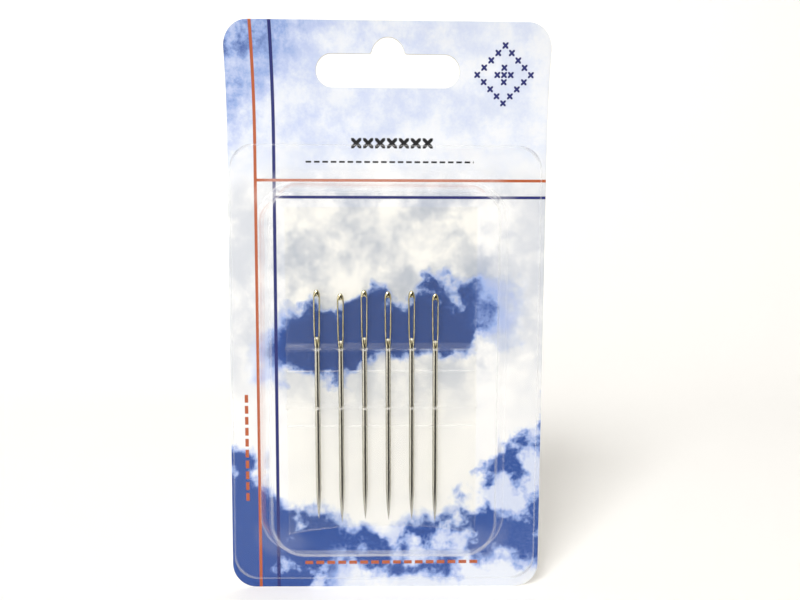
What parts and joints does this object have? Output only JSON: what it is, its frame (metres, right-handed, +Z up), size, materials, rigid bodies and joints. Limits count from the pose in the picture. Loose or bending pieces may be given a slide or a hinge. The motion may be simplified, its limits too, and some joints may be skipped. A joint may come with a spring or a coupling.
{
  "type": "sewing needle pack",
  "caption": "Hang card with a clear blister, holding hand-sewing needles with long gilt eyes, threaded through the pleats of a clear film carrier.",
  "frame": {"origin": "the middle of the raised part of the hang slot's upper edge, halfway through the card, where a peg bears", "axes": "+X to the right as the front is seen, +Y out of the back of the card, +Z up"},
  "size_m": [0.0724, 0.0103, 0.1298],
  "materials": {
    "printed_card": "pale blue print on white card, gloss coated",
    "clear_blister": "clear thermoformed sheet",
    "clear_film": "clear pleated film",
    "needle_metal": "nickel-plated steel, polished, with a gilt eye"
  },
  "bodies": {
    "pack": {"card": "printed_card", "blister": "clear_blister"},
    "carrier": {"needle_carrier": "clear_film"},
    "needle_1": {"needle_1": "needle_metal"},
    "needle_2": {"needle_2": "needle_metal"},
    "needle_3": {"needle_3": "needle_metal"},
    "needle_4": {"needle_4": "needle_metal"},
    "needle_5": {"needle_5": "needle_metal"},
    "needle_6": {"needle_6": "needle_metal"}
  },
  "joints": [
    {"name": "carrier_slide", "type": "slide", "parent": "pack", "child": "carrier", "axis": [0, 0, 1], "range_m": [-0.0034, 0.0047]},
    {"name": "needle_1_slide", "type": "slide", "parent": "carrier", "child": "needle_1", "axis": [-0.0073, 0, 1], "range_m": [-0.0008, 0.018]},
    {"name": "needle_2_slide", "type": "slide", "parent": "carrier", "child": "needle_2", "axis": [-0.0073, 0, 1], "range_m": [-0.0008, 0.018]},
    {"name": "needle_3_slide", "type": "slide", "parent": "carrier", "child": "needle_3", "axis": [-0.0073, 0, 1], "range_m": [-0.0008, 0.018]},
    {"name": "needle_4_slide", "type": "slide", "parent": "carrier", "child": "needle_4", "axis": [-0.0073, 0, 1], "range_m": [-0.0008, 0.018]},
    {"name": "needle_5_slide", "type": "slide", "parent": "carrier", "child": "needle_5", "axis": [-0.0073, 0, 1], "range_m": [-0.0008, 0.018]},
    {"name": "needle_6_slide", "type": "slide", "parent": "carrier", "child": "needle_6", "axis": [-0.0073, 0, 1], "range_m": [-0.0008, 0.018]}
  ]
}
